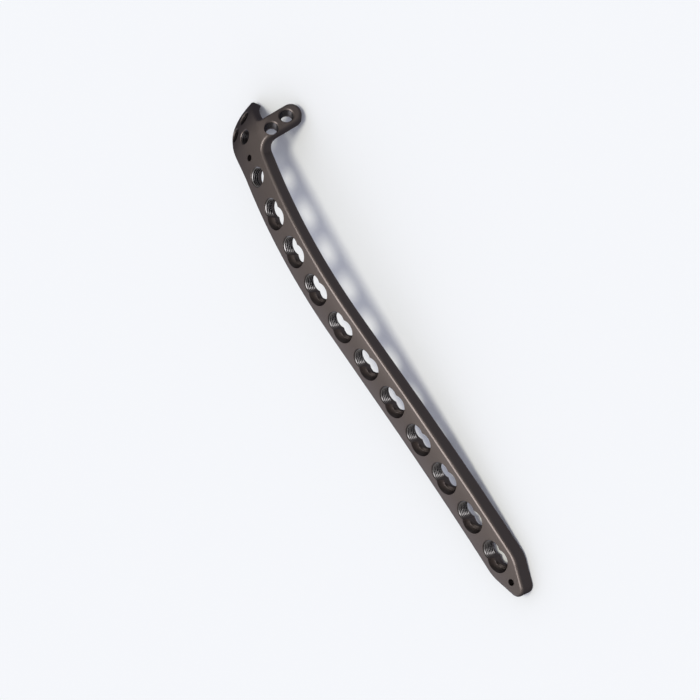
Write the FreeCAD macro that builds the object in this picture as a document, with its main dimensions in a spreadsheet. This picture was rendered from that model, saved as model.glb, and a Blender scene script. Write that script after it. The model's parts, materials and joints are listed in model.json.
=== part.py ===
import FreeCAD, Part
import math
import os
import Sketcher

# A long locking plate for the lower end of the upper arm bone: a straight shaft
# with ten combination holes, bowed towards a head that hooks over the joint and
# has a side tab. It is drawn with its lower shaft level. X runs along it from
# the tip's wire hole towards the head, Y to the head's rounded side and Z out
# of the bone. The last step lays it on the table.
SIZES = {
    "shaft_width": 11.0,
    "tip_thickness": 4.8,
    "neck_thickness": 3.6,
    "crown_radius": 34.0,
    "top_rounding": 0.9,
    "under_rounding": 0.35,
    "tip_length": 4.6,
    "nose_radius": 2.6,
    "nose_taper_angle": 22.0,
    "nose_shoulder_radius": 9.0,
    "lift_radius": 994.0,
    "lift_angle": 3.46,
    "straight_length": 27.0,
    "bow_radius": 174.0,
    "bow_angle": 20.4,
    "neck_length": 7.5,
    "hook_radius": 20.0,
    "hook_angle": 49.0,
    "prong_length": 1.7,
    "prong_thinning": 2.2,
    "hole_pitch": 13.0,
    "first_hole_offset": 8.7,
    "neck_hole_offset": 12.5,
    "neck_wire_offset": 6.6,
    "lock_radius": 2.95,
    "lock_bevel": 0.2,
    "ramp_radius": 3.5,
    "slot_radius": 2.75,
    "lobe_spacing": 3.4,
    "wire_hole_radius": 1.0,
    "head_hole_radius": 2.1,
    "head_core_radius": 1.8,
    "head_hole_bevel": 0.3,
    "hook_hole_lead": 2.7,
    "hook_hole_pitch": 7.2,
    "hook_hole_inset": 0.8,
    "hook_hole_offset": 4.2,
    "tab_hole_shift": -0.2,
    "tab_hole_pitch": 5.4,
    "tab_offset": 3.8,
    "tab_width": 6.5,
    "tab_lean_angle": 6.0,
    "tab_bend_offset": 0.8,
    "tab_bend_radius": 5.5,
    "tab_angle": 57.0,
    "tab_run_length": 10.0,
    "tab_front_radius": 3.0,
    "tab_corner_radius": 1.9,
    "tab_root_radius": 3.0,
    "notch_radius": 1.8,
    "notch_offset": 7.4,
    "head_side_offset": 6.9,
    "head_flare_lead": 7.0,
    "head_flare_length": 9.0,
    "head_flare_radius": 12.0,
    "head_round_radius": 8.0,
    "prong_right_offset": 1.0,
    "prong_left_offset": 2.2,
    "prong_right_radius": 2.6,
    "prong_left_radius": 1.6,
}
COMBI_HOLES = 10
NECK_STATIONS = 6
HOOK_STATIONS = 10
# How far a cutter reaches past what it cuts.
CLEAR = 1.0
FAR = 60.0

doc = FreeCAD.newDocument("bone_plate")
sheet = doc.addObject("Spreadsheet::Sheet", "sizes")
for row, (alias, value) in enumerate(SIZES.items(), start=1):
    sheet.set("A%d" % row, alias)
    sheet.set("B%d" % row, repr(value))
    sheet.setAlias("B%d" % row, alias)
doc.recompute()


def size(alias):
    return float(sheet.get(alias))


def angle(alias):
    return math.radians(size(alias))


def vector(x, y, z=0.0):
    return FreeCAD.Vector(x, y, z)


def ahead(heading):
    """The unit vector of a heading in a sketch."""
    return vector(math.cos(heading), math.sin(heading))


def leftward(heading):
    return vector(-math.sin(heading), math.cos(heading))


class Path:
    """A tangent chain of straight runs and arcs, each with the formula of its size."""

    def __init__(self, start, heading):
        self.point = start
        self.heading = heading
        self.steps = []

    def run(self, length, formula=None):
        self.steps.append((length, 0.0, self.point, self.heading, formula))
        self.point = self.point + ahead(self.heading) * length

    def turn(self, radius, turned, formula=None):
        """Turn by an angle in radians, to the left when positive."""
        bend = math.copysign(1.0 / radius, turned)
        self.steps.append((radius * abs(turned), bend, self.point, self.heading, formula))
        self.point, self.heading = self.at(self.length())

    def length(self):
        return sum(step[0] for step in self.steps)

    def at(self, distance):
        """The point and heading at a distance along the path."""
        for length, bend, point, heading, formula in self.steps:
            if distance <= length:
                break
            distance -= length
        else:
            distance += length
        if bend == 0.0:
            return point + ahead(heading) * distance, heading
        centre = point + leftward(heading) / bend
        heading += bend * distance
        return centre - leftward(heading) / bend, heading

    def sketch(self, name):
        """Draw the chain upright, its sizes bound to the sheet."""
        made = doc.addObject("Sketcher::SketchObject", name)
        before = None
        for length, bend, point, heading, formula in self.steps:
            if bend == 0.0:
                entry, leave, kind, amount = 1, 2, "Distance", length
                index = made.addGeometry(Part.LineSegment(point, point + ahead(heading) * length))
            else:
                kind, amount = "Radius", abs(1.0 / bend)
                first = heading - math.copysign(math.pi / 2.0, bend)
                ends = sorted((first, first + bend * length))
                entry, leave = (1, 2) if bend > 0.0 else (2, 1)
                circle = Part.Circle(point + leftward(heading) / bend, vector(0, 0, 1), amount)
                index = made.addGeometry(Part.ArcOfCircle(circle, *ends))
            if before is not None:
                made.addConstraint(Sketcher.Constraint("Tangent", before[0], before[1], index, entry))
            bound = made.addConstraint(Sketcher.Constraint(kind, index, amount))
            if formula:
                made.setExpression("Constraints[%d]" % bound, formula)
            before = (index, leave)
        made.Placement = FreeCAD.Placement(vector(0, 0), FreeCAD.Rotation(vector(1, 0, 0), 90))
        return made


# The bow is the line of the outer face along the middle of the shaft. The lower
# face follows it, further in at the tip than at the neck, where the two lines
# end on one plane.
thin = size("neck_thickness")
bow_length = size("bow_radius") * angle("bow_angle")
shaft_angle = angle("bow_angle") * (1.0 - size("neck_length") / bow_length)


def shaft_path(start, heading, inset, formula, extra):
    lead = CLEAR if inset else 0.0
    path = Path(start - ahead(heading) * lead, heading)
    path.run(size("tip_length") + lead, "sizes.tip_length + %g" % lead)
    path.turn(size("lift_radius") + inset, angle("lift_angle"), "sizes.lift_radius + " + formula)
    path.run(size("straight_length") + extra, None if inset else "sizes.straight_length")
    path.turn(size("bow_radius") - inset, -shaft_angle - heading, "sizes.bow_radius - " + formula)
    return path


start = vector(-size("tip_length"), 0)
shaft_line = shaft_path(start, 0.0, 0.0, "0", 0.0)
joint, joint_heading = shaft_line.point, shaft_line.heading
low_start = start - vector(0, size("tip_thickness"))
straight_part = shaft_line.length() - size("bow_radius") * shaft_angle / 2.0
taper = math.atan2(size("tip_thickness") - thin, straight_part)
short = 0.0
for trial in range(5):
    shaft_under = shaft_path(low_start, taper, thin, "sizes.neck_thickness", short)
    short += (joint - shaft_under.point).dot(ahead(joint_heading)) / math.cos(shaft_angle)
joint_thickness = (joint - shaft_under.point).Length
shaft_under.run(CLEAR)


def crown_arc(sketch, crown, height, half, edge=None):
    """Add the arched top of a section and return its left end and its middle."""
    middle = vector(0, height - crown)
    left = middle + leftward(-math.asin(half / crown)) * crown
    top = middle + leftward(0.0) * crown
    sketch.addGeometry(Part.Arc(left, top, edge or vector(-left.x, left.y)))
    return left


def close(sketch, corners):
    for first, second in zip(corners, corners[1:]):
        sketch.addGeometry(Part.LineSegment(first, second))


def stand_across(sketch, point, heading):
    """Put a section across the plate: its X becomes Y and its Y points out of the face."""
    across = FreeCAD.Rotation(vector(0, 1, 0), vector(0, 0, 1), vector(1, 0, 0), "ZXY")
    tilt = FreeCAD.Rotation(vector(0, 1, 0), -math.degrees(heading))
    sketch.Placement = FreeCAD.Placement(vector(point.x, 0, point.y), tilt * across)


def shaft_body(name, path, crown, depth, half):
    section = doc.addObject("Sketcher::SketchObject", name + "_section")
    left = crown_arc(section, crown, 0.0, half)
    low = -depth
    close(section, [vector(-left.x, left.y), vector(-left.x, low), vector(left.x, low), left])
    stand_across(section, path.steps[0][2], path.steps[0][3])
    made = doc.addObject("Part::Sweep", name)
    made.Sections = [section]
    made.Spine = (path.sketch(name + "_line"), ["Edge%d" % (i + 1) for i in range(len(path.steps))])
    made.Solid = True
    made.Frenet = False
    made.Transition = "Right corner"
    return made


def combine(kind, name, base, tool, refine=True):
    made = doc.addObject("Part::" + kind, name)
    made.Base = base
    made.Tool = tool
    made.Refine = refine
    return made


def fuse(name, shapes):
    made = doc.addObject("Part::MultiFuse", name)
    made.Shapes = shapes
    made.Refine = False
    return made


half = size("shaft_width") / 2.0
under_crown = size("crown_radius") - thin
shaft_block = shaft_body("shaft_block", shaft_line, size("crown_radius"), size("tip_thickness") + 2.0, half + 3.0)
shaft_space = shaft_body("shaft_space", shaft_under, under_crown, 6.0, half + 5.0)
shaft = combine("Cut", "shaft", shaft_block, shaft_space)

# The neck and the head are lofted through sections. The sections of the neck
# stand square to the bow. Those of the head stay parallel to its end, with the
# crown lowered along the hook while the tab's face stays in one plane.
TAB_TURN = angle("tab_angle")
crown_edge = math.asin((half + size("tab_bend_offset")) / size("crown_radius"))
tab_bend = size("tab_bend_radius")
tab_hub = vector(0, -size("crown_radius")) + leftward(crown_edge) * (size("crown_radius") - tab_bend)
tab_foot = tab_hub + leftward(TAB_TURN) * tab_bend
neck_line = Path(joint, joint_heading)
neck_line.turn(size("bow_radius"), shaft_angle - angle("bow_angle"))
neck_end, neck_heading = neck_line.point, neck_line.heading
hook_line = Path(neck_end, neck_heading)
hook_line.turn(size("hook_radius"), -angle("hook_angle"))
hook_line.run(size("prong_length"))


def hook_height(forward, inset):
    """The height of the hook's middle line, or with an inset of the one below it."""
    radius = size("hook_radius") - inset
    turned = angle("hook_angle")
    if forward <= radius * math.sin(turned):
        return math.sqrt(radius ** 2 - forward ** 2) - size("hook_radius")
    past = forward - radius * math.sin(turned)
    return radius * math.cos(turned) - size("hook_radius") - past * math.tan(turned)


def head_section(name, point, heading, height, inset, far_side):
    """A section whose crown bends down into the tab's run, which keeps its place."""
    crown = size("crown_radius") - inset
    bend = tab_bend - inset
    middle = vector(0, height - crown)
    reach = tab_hub - middle
    slide = reach.dot(ahead(TAB_TURN))
    root = slide ** 2 - reach.dot(reach) + (crown - bend) ** 2
    hub = tab_hub + ahead(TAB_TURN) * (math.sqrt(root) - slide)
    out = (hub - middle).normalize()
    edge = hub + out * bend
    turned = hub + leftward(TAB_TURN) * bend
    halfway = hub + (out + leftward(TAB_TURN)).normalize() * bend
    end = tab_foot - leftward(TAB_TURN) * inset - ahead(TAB_TURN) * (2.0 * size("tab_run_length") + inset)
    sketch = doc.addObject("Sketcher::SketchObject", name)
    left = crown_arc(sketch, crown, height, far_side, edge)
    sketch.addGeometry(Part.Arc(edge, halfway, turned))
    corners = [turned, end]
    if inset == 0.0:
        corners.append(end - leftward(TAB_TURN) * (thin + CLEAR))
    corners.append(vector(left.x, corners[-1].y))
    corners.append(left)
    close(sketch, corners)
    stand_across(sketch, point, heading)
    return sketch


def head_loft(name, inset, far_side):
    """Loft the head's block, or with an inset the space below its lower face."""
    sections = []
    for index in range(NECK_STATIONS):
        share = index / (NECK_STATIONS - 1.0)
        point, heading = neck_line.at(neck_line.length() * share)
        depth = joint_thickness + (thin - joint_thickness) * share if inset else 0.0
        label = "%s_neck_%d" % (name, index)
        sections.append(head_section(label, point, heading, -depth, inset, far_side))
    reach = (hook_line.point - neck_end).dot(ahead(neck_heading)) + 2.0 * CLEAR
    for index in range(1, HOOK_STATIONS + 1):
        forward = reach * index / HOOK_STATIONS
        point = neck_end + ahead(neck_heading) * forward
        height = hook_height(forward, inset)
        if inset:
            height += size("prong_thinning") * (forward / reach) ** 2
        label = "%s_hook_%d" % (name, index)
        sections.append(head_section(label, point, neck_heading, height, inset, far_side))
    made = doc.addObject("Part::Loft", name)
    made.Sections = sections
    made.Solid = True
    made.Ruled = False
    made.MaxDegree = 2
    return made


head_side = size("head_side_offset")
head_block = head_loft("head_block", 0.0, head_side + 3.0)
head_space = head_loft("head_space", thin, head_side + 5.0)
head = combine("Cut", "head", head_block, head_space)

blank = fuse("blank", [shaft, head])


class Outline:
    """A closed sketch drawn from corner to corner, each corner rounded by its radius."""

    def __init__(self, name):
        self.name = name
        self.corners = []

    def corner(self, x, y, radius=0.0):
        self.corners.append((vector(x, y), radius))

    def sketch(self):
        made = doc.addObject("Sketcher::SketchObject", self.name)
        count = len(self.corners)
        starts = []
        arcs = []
        for index in range(count):
            before = self.corners[index - 1][0]
            here, radius = self.corners[index]
            after = self.corners[(index + 1) % count][0]
            back = (before - here).normalize()
            on = (after - here).normalize()
            opening = back.getAngle(on)
            if radius == 0.0 or abs(opening - math.pi) < 1e-6:
                starts.append((here, here))
                arcs.append(None)
                continue
            reach = radius / math.tan(opening / 2.0)
            centre = here + (back + on).normalize() * (radius / math.sin(opening / 2.0))
            nearest = centre + (here - centre).normalize() * radius
            starts.append((here + back * reach, here + on * reach))
            arcs.append(nearest)
        for index in range(count):
            arrive, leave = starts[index]
            if arcs[index] is not None:
                made.addGeometry(Part.Arc(arrive, arcs[index], leave))
            following = starts[(index + 1) % count][0]
            if leave.distanceToPoint(following) > 1e-6:
                made.addGeometry(Part.LineSegment(leave, following))
        return made


def prism(name, outline, placement):
    made = doc.addObject("Part::Extrusion", name)
    made.Base = outline
    made.DirMode = "Normal"
    made.LengthFwd = FAR
    made.LengthRev = FAR
    made.Solid = True
    outline.Placement = placement
    return made



def stand(point, heading, across=0.0, lean=0.0):
    """A place on the outer face, its X along the plate and its Z out of the face."""
    turn = FreeCAD.Rotation(vector(0, 1, 0), -math.degrees(heading))
    place = FreeCAD.Placement(vector(point.x, 0, point.y), turn)
    tilt = FreeCAD.Rotation(vector(1, 0, 0), -math.degrees(lean))
    return place.multiply(FreeCAD.Placement(vector(0, across, 0), tilt))


def block_between(name, place, low, high):
    """A box between two corners that are given in a place's own frame."""
    made = doc.addObject("Part::Box", name)
    made.Length = high.x - low.x
    made.Width = high.y - low.y
    made.Height = high.z - low.z
    made.Placement = place.multiply(FreeCAD.Placement(low, FreeCAD.Rotation()))
    return made


# The outline of the head, seen square to the middle of the hook.
hook_arc = size("hook_radius") * angle("hook_angle")
middle_point, middle_heading = hook_line.at(hook_arc / 2.0)
facing = stand(middle_point, middle_heading)


def seen(distance):
    """How far along the head's outline a point of the hook's middle line lies."""
    return (hook_line.at(distance)[0] - middle_point).dot(ahead(middle_heading))


notch_side = size("notch_offset")
tab_back = neck_end.x - size("tab_offset")
root = seen(hook_arc * 0.13)
left_root = seen(hook_arc * 0.4)
end = seen(hook_line.length())
slope = (notch_side - size("prong_right_offset")) / (end - seen(hook_arc * 0.25))
shared = notch_side / 2.0
plan = Outline("head_outline")
plan.corner(root, -size("prong_right_offset") - slope * (end - root))
plan.corner(end, -size("prong_right_offset"), size("prong_right_radius"))
plan.corner(end, size("prong_left_offset"), size("prong_left_radius"))
plan.corner(seen(hook_arc * 0.58), head_side, size("head_round_radius"))
plan.corner(left_root, head_side)
plan.corner(left_root, -shared)
plan.corner(root, -shared)
head_prism = prism("head_prism", plan.sketch(), facing)

# The outline of the shaft, its nose and the tab, seen from above.
flare_start = neck_end.x - size("head_flare_lead")
lean = math.tan(angle("tab_lean_angle"))
tab_front = tab_back + size("tab_width")
nose = angle("nose_taper_angle")
nose_half = size("nose_radius") * math.tan(math.pi / 4.0 - nose / 2.0)
shoulder_x = (half - nose_half) / math.tan(nose) - size("tip_length")
plan = Outline("shaft_outline")
plan.corner(-size("tip_length"), nose_half, size("nose_radius"))
plan.corner(-size("tip_length"), -nose_half, size("nose_radius"))
plan.corner(shoulder_x, -half, size("nose_shoulder_radius"))
plan.corner(tab_back, -half, size("tab_root_radius"))
plan.corner(tab_back + lean * (FAR - half), -FAR)
plan.corner(tab_front + lean * (FAR - half), -FAR)
plan.corner(tab_front + lean * (shared - half), -shared)
plan.corner(FAR * 3.0, -shared)
plan.corner(FAR * 3.0, head_side)
plan.corner(flare_start + size("head_flare_length"), head_side, size("head_flare_radius"))
plan.corner(flare_start, half, 3.0 * size("head_flare_radius"))
plan.corner(shoulder_x, half, size("nose_shoulder_radius"))
shaft_prism = prism("shaft_prism", plan.sketch(), FreeCAD.Placement())
past = block_between("past_root", facing, vector(left_root + CLEAR / 2.0, -shared - CLEAR / 2.0, -FAR), vector(FAR, FAR, FAR))
shaft_part = combine("Cut", "shaft_part", shaft_prism, past)
trimming = fuse("trimming", [shaft_part, head_prism])
trimmed = combine("Common", "trimmed", blank, trimming)

# The tab ends square to its run.
neck_place = stand(neck_end, neck_heading)
bend_end = vector(0, tab_foot.x, tab_foot.y)
tilt = FreeCAD.Rotation(vector(1, 0, 0), math.degrees(TAB_TURN))
tab_place = neck_place.multiply(FreeCAD.Placement(bend_end, tilt))
run = size("tab_run_length")
past = block_between("past_tab", tab_place, vector(-FAR, -FAR, -FAR), vector(FAR, -run, 2.0 * thin))
cropped = combine("Cut", "cropped", trimmed, past)
doc.recompute()


def kind_of(face):
    """Whether a face of the blank is part of the outer face, the lower face or a wall."""
    points, facets = face.tessellate(0.1)
    widest = 0.0
    for facet in facets:
        first, second, third = [points[index] for index in facet]
        spread = (second - first).cross(third - first).Length
        if spread > widest:
            widest = spread
            middle = Part.Vertex((first + second + third) / 3.0)
    for kind, bodies in (("outer", (shaft_block, head_block)), ("under", (shaft_space, head_space))):
        if any(middle.distToShape(body.Shape.Shells[0])[0] < 0.1 for body in bodies):
            return kind
    return "wall"


def edges_between(shape, wanted):
    """The numbers of a shape's edges whose two faces are of two given kinds."""
    kinds = [(face, kind_of(face)) for face in shape.Faces]
    found = []
    for number, edge in enumerate(shape.Edges, start=1):
        near = shape.ancestorsOfType(edge, Part.Face)
        names = sorted(kind for face, kind in kinds if any(face.isSame(other) for other in near))
        if names == sorted(wanted):
            found.append(number)
    return found


def fillet(name, base, edges):
    made = doc.addObject("Part::Fillet", name)
    made.Base = base
    made.Edges = [(number, radius, radius) for number, radius in edges]
    return made


# The corners that two walls make are rounded, then both rims.
corners = []
for number in edges_between(cropped.Shape, ("wall", "wall")):
    edge = cropped.Shape.Edges[number - 1]
    first, second = cropped.Shape.ancestorsOfType(edge, Part.Face)
    middle = edge.valueAt((edge.FirstParameter + edge.LastParameter) / 2.0)
    out = [face.normalAt(*face.Surface.parameter(middle)) for face in (first, second)]
    if out[0].getAngle(out[1]) > 0.5:
        spot = tab_place.inverse().multVec(middle)
        radius = "tab_front_radius" if spot.x > 0.0 else "tab_corner_radius"
        corners.append((number, size("notch_radius" if spot.y > -run / 2.0 else radius)))
cornered = fillet("cornered", cropped, corners)
doc.recompute()
rims = [(number, size("top_rounding")) for number in edges_between(cornered.Shape, ("outer", "wall"))]
rims += [(number, size("under_rounding")) for number in edges_between(cornered.Shape, ("under", "wall"))]
rounded = fillet("rounded", cornered, rims)


# Cutters for the holes. Each stands on the outer face with its axis along Z.
def cylinder(name, radius, place):
    made = doc.addObject("Part::Cylinder", name)
    bind(made, Radius=radius, Height="sizes.tip_thickness + 4")
    low = vector(0, 0, -size("tip_thickness") - 2.0)
    made.Placement = place.multiply(FreeCAD.Placement(low, FreeCAD.Rotation()))
    return made


def cone(name, low, high, depth, rise, place):
    """A cone from a depth below the face to a rise above it."""
    made = doc.addObject("Part::Cone", name)
    bind(made, Radius1=low, Radius2=high, Height=depth + " + " + rise)
    shift = FreeCAD.Placement(vector(0, 0, -value_of(depth)), FreeCAD.Rotation())
    made.Placement = place.multiply(shift)
    return made


def value_of(formula):
    """A formula's value, for a place that is worked out here."""
    for alias in sorted(SIZES, key=len, reverse=True):
        formula = formula.replace("sizes." + alias, repr(size(alias)))
    return sum(float(term) for term in formula.split("+"))


def bind(thing, **formulas):
    for name, formula in formulas.items():
        thing.setExpression(name, formula)


def crown_stand(path, distance, across):
    """A place off the middle line, square to the crown there."""
    point, heading = path.at(distance)
    lean = math.asin(across / size("crown_radius"))
    drop = size("crown_radius") * (1.0 - math.cos(lean))
    place = stand(point, heading, across, lean)
    down = FreeCAD.Rotation(vector(0, 1, 0), -math.degrees(heading)).multVec(vector(0, 0, -drop))
    place.Base = place.Base + down
    return place


# The middle line of the whole outer face places the holes.
bow_end = size("tip_length") + size("lift_radius") * angle("lift_angle") + size("straight_length") + bow_length
middle_line = Path(start, 0.0)
middle_line.run(size("tip_length"))
middle_line.turn(size("lift_radius"), angle("lift_angle"))
middle_line.run(size("straight_length"))
middle_line.turn(size("bow_radius"), -angle("bow_angle"))
middle_line.turn(size("hook_radius"), -angle("hook_angle"))
middle_line.run(size("prong_length"))

cutters = []
for index in range(COMBI_HOLES):
    middle = size("tip_length") + size("first_hole_offset") + index * size("hole_pitch")
    name = "combi_%02d" % (index + 1)
    point, heading = middle_line.at(middle)
    place = stand(point, heading)
    lock = place.multiply(FreeCAD.Placement(vector(size("lobe_spacing") / 2.0, 0), FreeCAD.Rotation()))
    ramp = place.multiply(FreeCAD.Placement(vector(-size("lobe_spacing") / 2.0, 0), FreeCAD.Rotation()))
    cutters.append(cylinder(name + "_lock", "sizes.lock_radius", lock))
    rise = "sizes.lock_radius + 1 + sizes.lock_bevel"
    cutters.append(cone(name + "_bevel", "sizes.lock_radius", rise, "sizes.lock_bevel", "1", lock))
    cutters.append(cylinder(name + "_slot", "sizes.slot_radius", ramp))
    ball = doc.addObject("Part::Sphere", name + "_ramp")
    bind(ball, Radius="sizes.ramp_radius")
    ball.Placement = ramp
    cutters.append(ball)

round_at = middle + size("neck_hole_offset")
place = stand(*middle_line.at(round_at))
cutters.append(cylinder("neck_lock", "sizes.lock_radius", place))
rise = "sizes.lock_radius + 1 + sizes.lock_bevel"
cutters.append(cone("neck_bevel", "sizes.lock_radius", rise, "sizes.lock_bevel", "1", place))
for name, distance in (("tip_wire", size("tip_length")), ("neck_wire", round_at + size("neck_wire_offset"))):
    cutters.append(cylinder(name, "sizes.wire_hole_radius", stand(*middle_line.at(distance))))
drilled = combine("Cut", "shaft_drilled", rounded, fuse("shaft_drills", cutters), False)

head_names = []
head_places = []


def head_hole(name, place):
    head_names.append(name)
    head_places.append(place)
    cutters.append(cylinder(name + "_core", "sizes.head_core_radius", place))
    depth = "sizes.neck_thickness"
    cutters.append(cone(name + "_thread", "sizes.head_core_radius", "sizes.head_hole_radius", depth, "0", place))
    rise = "sizes.head_hole_radius + 1 + sizes.head_hole_bevel"
    cutters.append(cone(name + "_bevel", "sizes.head_hole_radius", rise, "sizes.head_hole_bevel", "1", place))


# Three head holes stand in a triangle on the hook.
cutters = []
row = bow_end + size("hook_hole_lead")
pitch = size("hook_hole_pitch")
head_hole("hook_hole_1", crown_stand(middle_line, row, -size("hook_hole_inset")))
head_hole("hook_hole_2", crown_stand(middle_line, row + pitch * 0.61, size("hook_hole_offset")))
head_hole("hook_hole_3", crown_stand(middle_line, row + pitch, -size("hook_hole_inset")))

drilled = combine("Cut", "hook_drilled", drilled, fuse("hook_drills", cutters), False)

# Two head holes stand on the tab, the first where its bend ends. Each is cut by
# itself, turned so that the seam of the cut misses the seams of the bend.
for index, name in enumerate(("tab_hole_1", "tab_hole_2")):
    down = index * size("tab_hole_pitch")
    spot = vector(size("tab_hole_shift") + down * 0.5, -down)
    cutters = []
    turned = FreeCAD.Rotation(vector(0, 0, 1), -45.0 * (index + 1))
    head_hole(name, tab_place.multiply(FreeCAD.Placement(spot, turned)))
    drilled = combine("Cut", name + "_drilled", drilled, fuse(name + "_drill", cutters), False)
plate = drilled
doc.recompute()

for thing in doc.Objects:
    if "Invalid" in thing.State or "Error" in thing.State:
        raise RuntimeError("not built: " + thing.Name)
    if hasattr(thing, "Shape") and thing.Shape.isNull():
        raise RuntimeError("no shape: " + thing.Name)
if not plate.Shape.isValid() or len(plate.Shape.Solids) != 1:
    raise RuntimeError("the plate is not one sound solid")


def lower_edge(points, weight, roll):
    """The height and slope of the lower hull under the weight, seen along Y after a roll."""
    hull = []
    for x, z in sorted((point.x, point.z - roll * (point.y - weight.y)) for point in points):
        while len(hull) > 1:
            (ax, az), (bx, bz) = hull[-2:]
            if (bx - ax) * (z - az) - (bz - az) * (x - ax) > 0.0:
                break
            hull.pop()
        hull.append((x, z))
    for (ax, az), (bx, bz) in zip(hull, hull[1:]):
        if ax <= weight.x <= bx and bx > ax:
            rise = (bz - az) / (bx - ax)
            return az + rise * (weight.x - ax), rise


def rest_placement(shape):
    """Lay the plate on the three points that carry its weight, its box centred over the origin."""
    points = shape.tessellate(0.05)[0]
    weight = shape.Solids[0].CenterOfMass
    low, high = -0.5, 0.5
    for halving in range(40):
        third = (high - low) / 3.0
        if lower_edge(points, weight, low + third)[0] < lower_edge(points, weight, high - third)[0]:
            low += third
        else:
            high -= third
    roll = (low + high) / 2.0
    rise = lower_edge(points, weight, roll)[1]
    turn = FreeCAD.Rotation(vector(-rise, -roll, 1), vector(0, 0, 1))
    turned = shape.copy()
    turned.Placement = FreeCAD.Placement(vector(0, 0), turn)
    box = turned.optimalBoundingBox()
    return FreeCAD.Placement(vector(-box.Center.x, -box.Center.y, -box.ZMin), turn)


plate.Placement = rest_placement(plate.Shape)
doc.recompute()
plate.Label = "bone_plate"
os.makedirs("parts", exist_ok=True)
plate.Shape.exportStep("parts/bone_plate.step")
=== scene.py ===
import json
import math

import bmesh
import bpy
from mathutils import Matrix, Vector


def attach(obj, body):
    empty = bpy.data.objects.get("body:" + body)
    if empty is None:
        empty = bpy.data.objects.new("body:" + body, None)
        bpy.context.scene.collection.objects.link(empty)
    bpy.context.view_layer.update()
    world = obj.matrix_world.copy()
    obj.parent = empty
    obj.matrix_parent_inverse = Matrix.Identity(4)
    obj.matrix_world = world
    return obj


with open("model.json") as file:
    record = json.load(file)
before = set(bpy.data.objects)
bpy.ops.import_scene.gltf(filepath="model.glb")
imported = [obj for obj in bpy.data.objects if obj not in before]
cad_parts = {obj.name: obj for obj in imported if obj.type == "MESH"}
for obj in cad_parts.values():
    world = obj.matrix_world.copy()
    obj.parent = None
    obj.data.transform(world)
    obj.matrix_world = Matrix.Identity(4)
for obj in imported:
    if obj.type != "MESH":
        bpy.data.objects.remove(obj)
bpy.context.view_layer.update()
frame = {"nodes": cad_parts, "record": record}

# The plate: one milled piece of titanium alloy, blasted and anodised to a satin
# grey brown. It is the CAD node as it stands, so it only gets its metal here.
# Fine grain roughens it, and a slow drift of tone and long marks vary it.
TITANIUM_DARK = (0.168, 0.143, 0.132, 1.0)
TITANIUM_LIGHT = (0.205, 0.177, 0.164, 1.0)
GRAZING_TINT = (0.35, 0.36, 0.40, 1.0)
SATIN_ROUGHNESS = 0.30
PATCH_SCALE = 60.0
PATCH_DETAIL = 3.0
GRAIN_SCALE = 9000.0
GRAIN_DETAIL = 2.0
MARK_SCALE = 2200.0
MARK_DETAIL = 3.0
MARK_ROUGHNESS = 0.6
MARK_STRETCH = (0.08, 1.0, 1.0)
MAIN_SHARE = 0.7
MARK_SHARE = 0.3
PATCH_ROUGHENING = 0.10
GRAIN_ROUGHENING = 0.06
GRAIN_STRENGTH = 0.12
GRAIN_DEPTH = 0.00004


class Wire:
    """A node's output. Sums and products of it add Math nodes, and add() any other."""

    def __init__(self, tree, output=None):
        self.tree = tree
        self.output = output

    def fill(self, node, sockets):
        """Link or set the sockets of a node."""
        for name, value in sockets.items():
            if isinstance(value, Wire):
                self.tree.links.new(value.output, node.inputs[name])
            else:
                node.inputs[name].default_value = value

    def add(self, kind, result, settings, sockets):
        """Add a node, its settings first, and return the output named by result."""
        node = self.tree.nodes.new(kind)
        for name, value in settings.items():
            if name == "stops":
                self.set_stops(node.color_ramp, value)
            elif name == "interpolation":
                node.color_ramp.interpolation = value
            else:
                setattr(node, name, value)
        self.fill(node, sockets)
        return Wire(self.tree, node.outputs[result])

    def set_stops(self, ramp, stops):
        """Give a ramp its stops, of which it has two to start with."""
        for index, (position, colour) in enumerate(stops):
            stop = ramp.elements[index] if index < 2 else ramp.elements.new(position)
            stop.position = position
            stop.color = colour

    def __add__(self, other):
        return self.add("ShaderNodeMath", 0, {"operation": "ADD"}, {0: self, 1: other})

    def __mul__(self, other):
        return self.add("ShaderNodeMath", 0, {"operation": "MULTIPLY"}, {0: self, 1: other})

    __radd__ = __add__
    __rmul__ = __mul__


def noise(start, scale, detail, roughness=0.5, stretch=(1.0, 1.0, 1.0)):
    """Noise in the plate's own coordinates, its scale in features per metre."""
    place = start.add("ShaderNodeTexCoord", "Object", {}, {})
    place = start.add("ShaderNodeMapping", "Vector", {}, {"Vector": place, "Scale": stretch})
    look = {"Vector": place, "Scale": scale, "Detail": detail, "Roughness": roughness}
    return start.add("ShaderNodeTexNoise", "Fac", {}, look)


def titanium(name, dark, light, roughness):
    """Anodised titanium between two tones."""
    material = bpy.data.materials.new(name)
    material.use_nodes = True
    start = Wire(material.node_tree)
    patches = noise(start, PATCH_SCALE, PATCH_DETAIL)
    grain = noise(start, GRAIN_SCALE, GRAIN_DETAIL)
    marks = noise(start, MARK_SCALE, MARK_DETAIL, MARK_ROUGHNESS, MARK_STRETCH)
    tone = {"Factor": MAIN_SHARE * patches + MARK_SHARE * marks, "A": dark, "B": light}
    height = MAIN_SHARE * grain + MARK_SHARE * marks
    relief = {"Strength": GRAIN_STRENGTH, "Distance": GRAIN_DEPTH, "Height": height}
    start.fill(material.node_tree.nodes["Principled BSDF"], {
        "Metallic": 1.0,
        "Specular Tint": GRAZING_TINT,
        "Base Color": start.add("ShaderNodeMix", "Result", {"data_type": "RGBA"}, tone),
        "Roughness": PATCH_ROUGHENING * patches + GRAIN_ROUGHENING * grain + roughness,
        "Normal": start.add("ShaderNodeBump", "Normal", {}, relief),
    })
    return material


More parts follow.
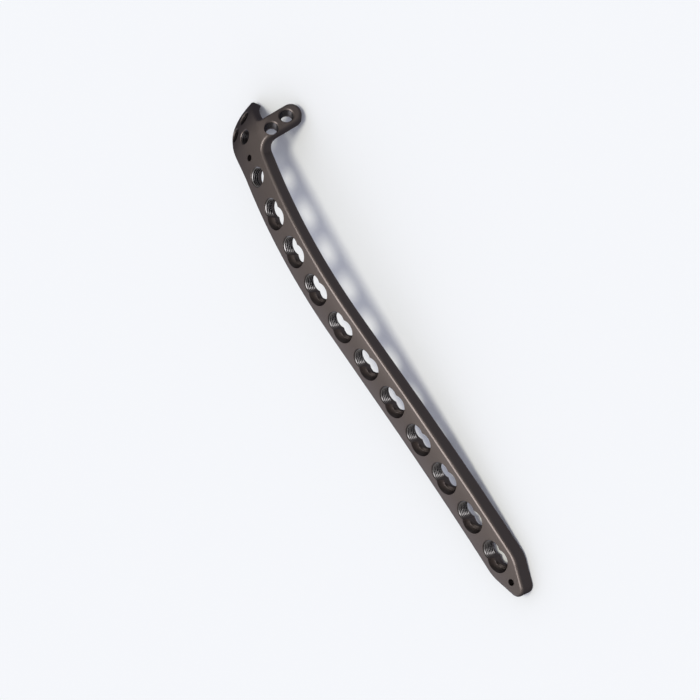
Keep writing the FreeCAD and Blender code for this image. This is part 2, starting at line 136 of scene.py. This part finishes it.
satin_titanium = titanium("titanium_satin", TITANIUM_DARK, TITANIUM_LIGHT, SATIN_ROUGHNESS)
for plate in frame["nodes"].values():
    plate.data.materials.clear()
    plate.data.materials.append(satin_titanium)

# Threads of the combination holes: rings milled round the headward lobe of each
# hole, in a lighter copy of the plate's metal, a painted highlight on the ridges.
# They narrow a little with depth, and run out into the wall where the ramp opens it.
MM = 0.001
# Painted highlight: these thread tones are lighter than the plate's, standing in for lit ridges.
THREAD_HIGHLIGHT_DARK = (0.170, 0.162, 0.160, 1.0)
THREAD_HIGHLIGHT_LIGHT = (0.280, 0.270, 0.268, 1.0)
THREAD_ROUGHNESS = 0.16
THREAD_PITCH = 0.62
RIDGE_STEPS = 48
RIDGE_ROOT = 0.06
RIDGE_FOOT = 0.36
RIDGE_TOP = 0.08
LOCK_RADIUS = 2.95
COMBI_START = 0.45
COMBI_CRESTS = (0.24, 0.50)
COMBI_SWEEP = math.radians(111.0)
COMBI_UNTHREADED = 0.75
LOBE_SHIFT = 1.7
TIP_THICKNESS = 4.7
NECK_THICKNESS = 3.75
COMBI_COUNT = 10
RIDGE_RUN_OUT = 6.0
END_HEIGHT = 0.05


def between(ends, share):
    """The value at a share of the way from the first end to the second."""
    return ends[0] + (ends[1] - ends[0]) * share


def square_to(axis, heading):
    """The heading laid square to the axis."""
    return (heading - axis * heading.dot(axis)).normalized()


def sweep_section(mesh, section, centre, axis, along, sweep, steps):
    """Spin a section of (radius, depth) points in mm, sweep to each side of along."""
    start = Matrix.Rotation(-sweep, 3, axis) @ along
    corners = [mesh.verts.new(centre + (start * radius - axis * depth) * MM) for radius, depth in section]
    loop = [mesh.edges.new((corners[index - 1], corners[index])) for index in range(len(corners))]
    whole_turn = sweep >= math.pi
    bmesh.ops.spin(mesh, geom=corners + loop, cent=centre, axis=axis, angle=2.0 * sweep, steps=steps,
                   use_merge=whole_turn)


def run_out(mesh, centre, axis, along, wall, sweep, steepness):
    """Let both ends of an arc sink into the wall, as a cutter leaves them."""
    side = axis.cross(along)
    for vert in mesh.verts:
        arm = vert.co - centre
        arm -= axis * arm.dot(axis)
        share = 0.5 + 0.5 * math.atan2(arm.dot(side), arm.dot(along)) / sweep
        height = min(1.0, steepness * min(share, 1.0 - share) + END_HEIGHT)
        if arm.length < wall * MM:
            vert.co += arm.normalized() * (wall * MM - arm.length) * (1.0 - height)


def set_in(mesh, name, metal):
    """Close a detail's mesh and make it a piece of the plate."""
    bmesh.ops.holes_fill(mesh, edges=[edge for edge in mesh.edges if edge.is_boundary], sides=0)
    bmesh.ops.recalc_face_normals(mesh, faces=mesh.faces)
    data = bpy.data.meshes.new(name)
    mesh.to_mesh(data)
    mesh.free()
    data.materials.append(metal)
    piece = bpy.data.objects.new(name, data)
    bpy.context.scene.collection.objects.link(piece)
    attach(piece, "root")


def cut_thread(centre, axis, along, sweep, start, pitch, turns, walls, crests):
    """Rings under each other, from the depth start on, in walls that may narrow."""
    mesh = bmesh.new()
    for turn in range(turns):
        share = (turn + 0.5) / turns
        depth = start + (turn + 0.5) * pitch
        wall = between(walls, share)
        crest = wall - between(crests, share)
        foot = RIDGE_FOOT * pitch
        top = RIDGE_TOP * pitch
        section = [(wall + RIDGE_ROOT, depth - foot), (crest, depth - top)]
        section += [(crest, depth + top), (wall + RIDGE_ROOT, depth + foot)]
        sweep_section(mesh, section, centre, axis, along, sweep, RIDGE_STEPS)
    return mesh


# The threads' metal: a lighter copy of the plate's, as painted highlight.
highlight_thread_titanium = titanium("titanium_thread_painted_highlight", THREAD_HIGHLIGHT_DARK, THREAD_HIGHLIGHT_LIGHT, THREAD_ROUGHNESS)
mounts = {mount["name"]: mount for mount in frame["record"]["mounts"]}
places = [Vector(mounts["combi_hole_%02d" % number]["pos_m"]) for number in range(1, COMBI_COUNT + 1)]
axes = [Vector(mounts["combi_hole_%02d" % number]["axis"]) for number in range(1, COMBI_COUNT + 1)]
combi_holes = []
for index, (place, axis) in enumerate(zip(places, axes)):
    lower = min(index, COMBI_COUNT - 2)
    headward = square_to(axis.normalized(), places[lower + 1] - places[lower])
    thickness = between((TIP_THICKNESS, NECK_THICKNESS), index / COMBI_COUNT)
    combi_holes.append((place, axis.normalized(), headward, thickness))
for number, (place, axis, headward, thickness) in enumerate(combi_holes, start=1):
    lobe = place + headward * LOBE_SHIFT * MM
    turns = int((thickness - COMBI_UNTHREADED) / THREAD_PITCH)
    walls = (LOCK_RADIUS, LOCK_RADIUS)
    thread = cut_thread(lobe, axis, headward, COMBI_SWEEP, COMBI_START, THREAD_PITCH, turns, walls,
                        COMBI_CRESTS)
    run_out(thread, lobe, axis, headward, LOCK_RADIUS, COMBI_SWEEP, RIDGE_RUN_OUT)
    set_in(thread, "combi_thread_%02d" % number, highlight_thread_titanium)

# Thread of the round locking hole at the neck: whole rings in the same lighter
# metal with its painted highlight, milled from the outer face almost to the lower one.
NECK_START = 0.15
NECK_TURNS = 4
NECK_CRESTS = (0.26, 0.45)
neck = mounts["neck_lock_hole"]
axis = Vector(neck["axis"]).normalized()
headward = square_to(axis, Vector(neck["pos_m"]) - places[-1])
face = Vector(neck["pos_m"]) + axis * neck["dims"]["length_mm"] * 0.5 * MM
walls = (LOCK_RADIUS, LOCK_RADIUS)
thread = cut_thread(face, axis, headward, math.pi, NECK_START, THREAD_PITCH, NECK_TURNS, walls, NECK_CRESTS)
set_in(thread, "neck_thread", highlight_thread_titanium)

# Threads of the head's holes: finer whole rings in the five small conical holes
# of the hook and the tab. Their metal is a far darker copy of the plate's, painted shade for the hollows
# they lie in.
# Painted shade: these tones are far darker than the plate's, standing in for the shade inside the holes.
BORE_SHADE_DARK = (0.036, 0.034, 0.036, 1.0)
BORE_SHADE_LIGHT = (0.080, 0.077, 0.080, 1.0)
BORE_ROUGHNESS = 0.20
HEAD_HOLES = ("hook_hole_1", "hook_hole_2", "hook_hole_3", "tab_hole_1", "tab_hole_2")
HEAD_START = 0.45
HEAD_PITCH = 0.5
HEAD_TURNS = 5
HEAD_WALLS = (2.05, 1.86)
HEAD_CRESTS = (0.16, 0.24)
# A shaded copy of the plate's metal, as painted shade for the head's holes.
shaded_bore_titanium = titanium("titanium_bore_painted_shade", BORE_SHADE_DARK, BORE_SHADE_LIGHT, BORE_ROUGHNESS)
for number, name in enumerate(HEAD_HOLES, start=1):
    place = Vector(mounts[name]["pos_m"])
    axis = Vector(mounts[name]["axis"]).normalized()
    across = axis.orthogonal().normalized()
    thread = cut_thread(place, axis, across, math.pi, HEAD_START, HEAD_PITCH, HEAD_TURNS, HEAD_WALLS,
                        HEAD_CRESTS)
    set_in(thread, "head_thread_%d" % number, shaded_bore_titanium)

# Bowls of the combination holes: the hollow seat round the tipward end of each
# hole, on which the head of a plain screw slides. It is milled with a ball end
# and anodised with the plate, whose own countersink lies above it.
BALL_RADIUS = 3.5
BALL_DEPTHS = (2.2, 2.35, 2.5, 2.65, 2.8)
BOWL_START = 2.05
BOWL_WALL = 2.80
BOWL_FOOT = 0.75
BOWL_END = 0.45
BOWL_SWEEP = math.radians(112.0)
BOWL_STEPS = 36
BOWL_RUN_OUT = 4.0
for number, (place, axis, headward, thickness) in enumerate(combi_holes, start=1):
    lobe = place - headward * LOBE_SHIFT * MM
    section = [(BOWL_WALL, BOWL_START)]
    section += [(math.sqrt(BALL_RADIUS ** 2 - depth ** 2), depth) for depth in BALL_DEPTHS]
    section += [(section[-1][0], thickness - BOWL_FOOT), (BOWL_WALL, thickness - BOWL_END)]
    seat = bmesh.new()
    sweep_section(seat, section, lobe, axis, -headward, BOWL_SWEEP, BOWL_STEPS)
    run_out(seat, lobe, axis, -headward, BOWL_WALL, BOWL_SWEEP, BOWL_RUN_OUT)
    set_in(seat, "combi_bowl_%02d" % number, satin_titanium)
    bpy.data.meshes["combi_bowl_%02d" % number].shade_smooth()

# The floor: a pale matt table top under the plate. To the metal's mirror rays it
# is a painted reflection instead, an even grey glow, as if dark cards stood just outside the picture.
FLOOR_SIZE = 6.0
FLOOR_PAINT = (0.900, 0.915, 0.950, 1.0)
# Painted reflection: the grey glow that the metal mirrors in place of the floor.
FLOOR_REFLECTION_GREY = (0.215, 0.215, 0.240, 1.0)
floor_mesh = bmesh.new()
bmesh.ops.create_grid(floor_mesh, x_segments=2, y_segments=2, size=FLOOR_SIZE / 2.0)
floor_data = bpy.data.meshes.new("floor")
floor_mesh.to_mesh(floor_data)
floor_mesh.free()
floor = bpy.data.objects.new("floor", floor_data)
bpy.context.scene.collection.objects.link(floor)
floor_material = bpy.data.materials.new("floor_paint")
floor_material.use_nodes = True
tree = floor_material.node_tree
tree.nodes.remove(tree.nodes["Principled BSDF"])
start = Wire(tree)
glossy = start.add("ShaderNodeLightPath", "Is Glossy Ray", {}, {})
paint = start.add("ShaderNodeBsdfDiffuse", "BSDF", {}, {"Color": FLOOR_PAINT})
# Painted reflection: mirror rays see this grey glow instead of the lit floor.
painted_reflection = start.add("ShaderNodeEmission", "Emission", {}, {"Color": FLOOR_REFLECTION_GREY})
surface = start.add("ShaderNodeMixShader", "Shader", {}, {"Fac": glossy, 1: paint, 2: painted_reflection})
start.fill(tree.nodes["Material Output"], {"Surface": surface})
floor_data.materials.append(floor_material)

# The studio: an even pale room and one wide soft light, almost overhead. The
# metal mirrors the room as darker near the horizon, bright overhead, and with a
# cool glow from far behind the plate.
ROOM = (0.575, 0.588, 0.662, 1.0)
HORIZON = (0.265, 0.265, 0.290, 1.0)
UPPER_WALL = (0.500, 0.480, 0.470, 1.0)
CEILING = (4.6, 4.55, 4.6, 1.0)
NO_GLOW = (0.0, 0.0, 0.0, 1.0)
FAR_GLOW = (0.75, 0.80, 0.95, 1.0)
ROOM_STOPS = [(0.05, HORIZON), (0.55, UPPER_WALL), (0.89, UPPER_WALL), (1.0, CEILING)]
GLOW_STOPS = [(0.80, NO_GLOW), (0.98, FAR_GLOW)]
ROOM_TURN = (math.radians(-7.0), 0.0, 0.0)
SUN_STRENGTH = 1.46
SUN_SPREAD = math.radians(20.0)
SUN_COLOUR = (1.0, 0.970, 0.800)
SUN_HEADING = (0.0, 0.30, -1.0)
studio = bpy.data.worlds.new("studio")
bpy.context.scene.world = studio
studio.use_nodes = True
start = Wire(studio.node_tree)
glossy = start.add("ShaderNodeLightPath", "Is Glossy Ray", {}, {})
direction = start.add("ShaderNodeTexCoord", "Generated", {}, {})
turned = {"Vector": direction, "Rotation": ROOM_TURN}
turned = start.add("ShaderNodeMapping", "Vector", {"vector_type": "VECTOR"}, turned)
upwards = start.add("ShaderNodeSeparateXYZ", "Z", {}, {"Vector": turned})
backwards = start.add("ShaderNodeSeparateXYZ", "Y", {}, {"Vector": turned})
eased = {"interpolation": "EASE", "stops": ROOM_STOPS}
walls = start.add("ShaderNodeValToRGB", "Color", eased, {"Fac": upwards})
glow = start.add("ShaderNodeValToRGB", "Color", {"stops": GLOW_STOPS}, {"Fac": backwards})
mirrored = {"Factor": 1.0, "A": walls, "B": glow}
mirrored = start.add("ShaderNodeMix", "Result", {"data_type": "RGBA", "blend_type": "ADD"}, mirrored)
seen = {"Factor": glossy, "A": ROOM, "B": mirrored}
seen = start.add("ShaderNodeMix", "Result", {"data_type": "RGBA"}, seen)
start.fill(studio.node_tree.nodes["Background"], {"Color": seen, "Strength": 1.0})
sun = bpy.data.lights.new("overhead", "SUN")
sun.energy = SUN_STRENGTH
sun.angle = SUN_SPREAD
sun.color = SUN_COLOUR
overhead = bpy.data.objects.new("overhead", sun)
overhead.rotation_euler = Vector(SUN_HEADING).to_track_quat("-Z", "Y").to_euler()
overhead.visible_glossy = False
bpy.context.scene.collection.objects.link(overhead)

# The camera: a long lens on the tab's side of the plate, looking down over the
# tip, and rolled so that the plate stands almost upright in the picture.
LENS = 127.69
SENSOR = 36.0
FAR_CLIP = 20.0
CAMERA_PLACE = (-0.190925, -0.455235, 0.506258)
CAMERA_RIGHT = (-0.46622, -0.54747, -0.69493)
CAMERA_UP = (0.84149, -0.51683, -0.15738)
CAMERA_BACK = (-0.27300, -0.65815, 0.70165)
camera_data = bpy.data.cameras.new("camera")
camera_data.lens = LENS
camera_data.sensor_width = SENSOR
camera_data.clip_end = FAR_CLIP
camera = bpy.data.objects.new("camera", camera_data)
bpy.context.scene.collection.objects.link(camera)
turn = Matrix((CAMERA_RIGHT, CAMERA_UP, CAMERA_BACK)).transposed().to_4x4()
camera.matrix_world = Matrix.Translation(CAMERA_PLACE) @ turn
bpy.context.scene.camera = camera
bpy.context.scene.view_settings.view_transform = "Standard"
